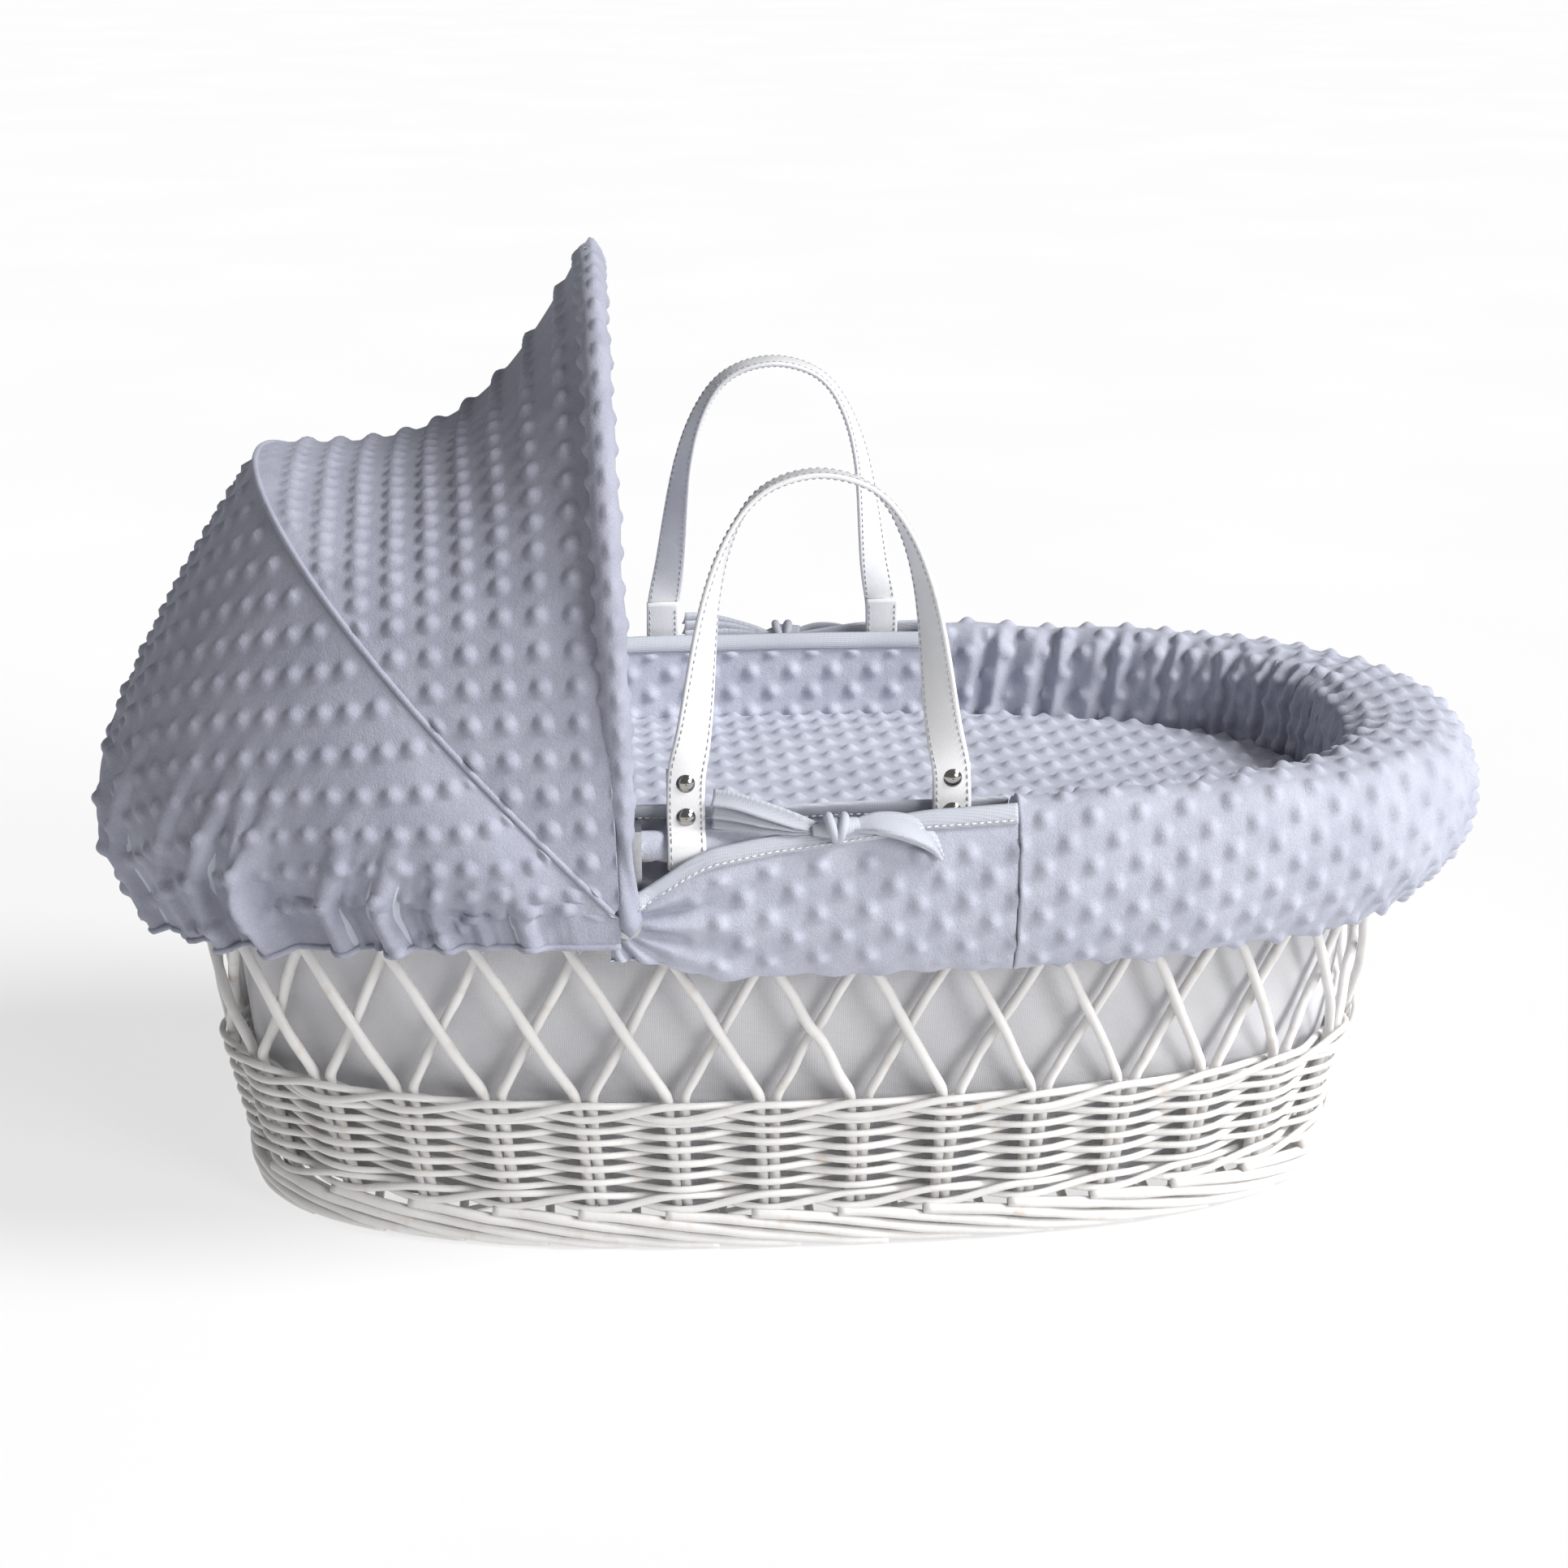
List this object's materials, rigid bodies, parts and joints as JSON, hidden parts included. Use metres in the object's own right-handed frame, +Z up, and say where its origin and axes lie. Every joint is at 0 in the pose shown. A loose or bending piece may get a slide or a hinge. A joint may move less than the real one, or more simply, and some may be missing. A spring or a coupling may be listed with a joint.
{
  "type": "moses basket",
  "caption": "Oval wicker baby basket with an open lattice over a woven band, padded dimple-cloth dressing, folding hood and two strap handles.",
  "frame": {"origin": "middle of the basket on the floor it stands on", "axes": "+X along the basket to the foot end, +Y across to the far side, +Z up; the hood is at -X"},
  "size_m": [0.874, 0.451, 0.5968],
  "materials": {
    "white_wicker": "painted satin",
    "white_cotton": "plain weave",
    "fibre_filling": "loose fibre",
    "mattress_cover": "plain weave",
    "grey_cotton_tape": "plain knit",
    "elastic": "covered",
    "bow_steel": "drawn",
    "rivet_nickel": "polished",
    "white_leatherette": "satin",
    "grey_dimple_velour": "raised-dot velour"
  },
  "bodies": {
    "basket": {"base_hoop": "white_wicker", "base_slats": "white_wicker", "base_weave": "white_wicker", "foot_border": "white_wicker", "stakes_left": "white_wicker", "stakes_right": "white_wicker", "lower_waling": "white_wicker", "side_weave": "white_wicker", "upper_waling": "white_wicker", "rim_border": "white_wicker", "lining": "white_cotton", "filling_pad": "fibre_filling", "mattress": "mattress_cover", "coverlet": "grey_dimple_velour", "foot_pad": "fibre_filling", "foot_cover": "grey_dimple_velour", "head_pad": "fibre_filling", "head_cover": "grey_dimple_velour", "side_panel_near": "grey_dimple_velour", "side_panel_far": "grey_dimple_velour", "binding_near": "grey_cotton_tape", "binding_far": "grey_cotton_tape", "skirt_elastic": "elastic", "tie_near": "grey_cotton_tape", "tie_far": "grey_cotton_tape", "hood_clip_near": "bow_steel", "hood_clip_far": "bow_steel", "hood_pins": "bow_steel", "hood_rear_panel": "grey_dimple_velour", "hood_elastic": "elastic"},
    "hood_mid": {"hood_mid_bow": "bow_steel", "hood_mid_piping": "grey_cotton_tape"},
    "hood_front": {"hood_front_bow": "bow_steel", "hood_front_hem": "grey_dimple_velour", "hood_front_panel": "grey_dimple_velour"},
    "handle_near": {"handle_near_strap": "white_leatherette", "handle_near_rivets": "rivet_nickel"},
    "handle_far": {"handle_far_strap": "white_leatherette", "handle_far_rivets": "rivet_nickel"}
  },
  "joints": [
    {"name": "hood_fold", "type": "hinge", "parent": "basket", "child": "hood_front", "pos_m": [-0.112, 0, 0.239], "axis": [0, -1, 0], "range_deg": [0, 62], "deforming": ["hood_front_panel"]},
    {"name": "hood_fold_mid", "type": "hinge", "parent": "basket", "child": "hood_mid", "pos_m": [-0.112, 0, 0.239], "axis": [0, -1, 0], "range_deg": [0, 35], "deforming": ["hood_rear_panel"]},
    {"name": "handle_near_swing", "type": "hinge", "parent": "basket", "child": "handle_near", "pos_m": [0, -0.19655, 0.278], "axis": [1, 0, 0], "range_deg": [-58, 95], "deforming": ["side_panel_near", "binding_near"]},
    {"name": "handle_far_swing", "type": "hinge", "parent": "basket", "child": "handle_far", "pos_m": [0, 0.19655, 0.278], "axis": [-1, 0, 0], "range_deg": [-58, 95], "deforming": ["side_panel_far", "binding_far"]}
  ],
  "couplings": [
    {"joint": "hood_fold_mid", "follows": "hood_fold", "ratio": 0.564}
  ]
}
